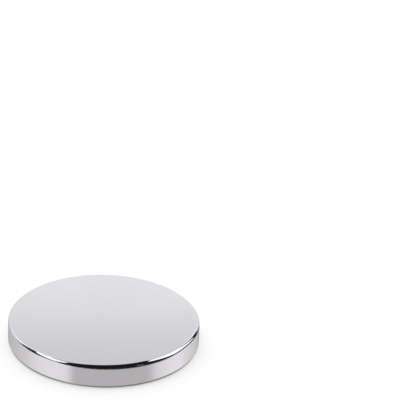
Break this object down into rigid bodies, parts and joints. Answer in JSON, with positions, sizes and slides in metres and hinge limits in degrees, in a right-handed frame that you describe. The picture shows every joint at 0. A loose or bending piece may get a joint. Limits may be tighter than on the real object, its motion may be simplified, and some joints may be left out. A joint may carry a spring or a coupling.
{
  "type": "disc magnet",
  "caption": "Flat round magnet with a mirror-bright nickel-plated finish and a small radius round the edge of both faces.",
  "frame": {"origin": "centre of the bottom face", "axes": "+Z along the disc's axis, from the bottom face to the top face"},
  "size_m": [0.022, 0.022, 0.003],
  "materials": {
    "nickel_plating": "bright nickel plating, polished to a mirror, with a very faint cloudiness"
  },
  "bodies": {
    "root": {"disc": "nickel_plating"}
  },
  "joints": []
}
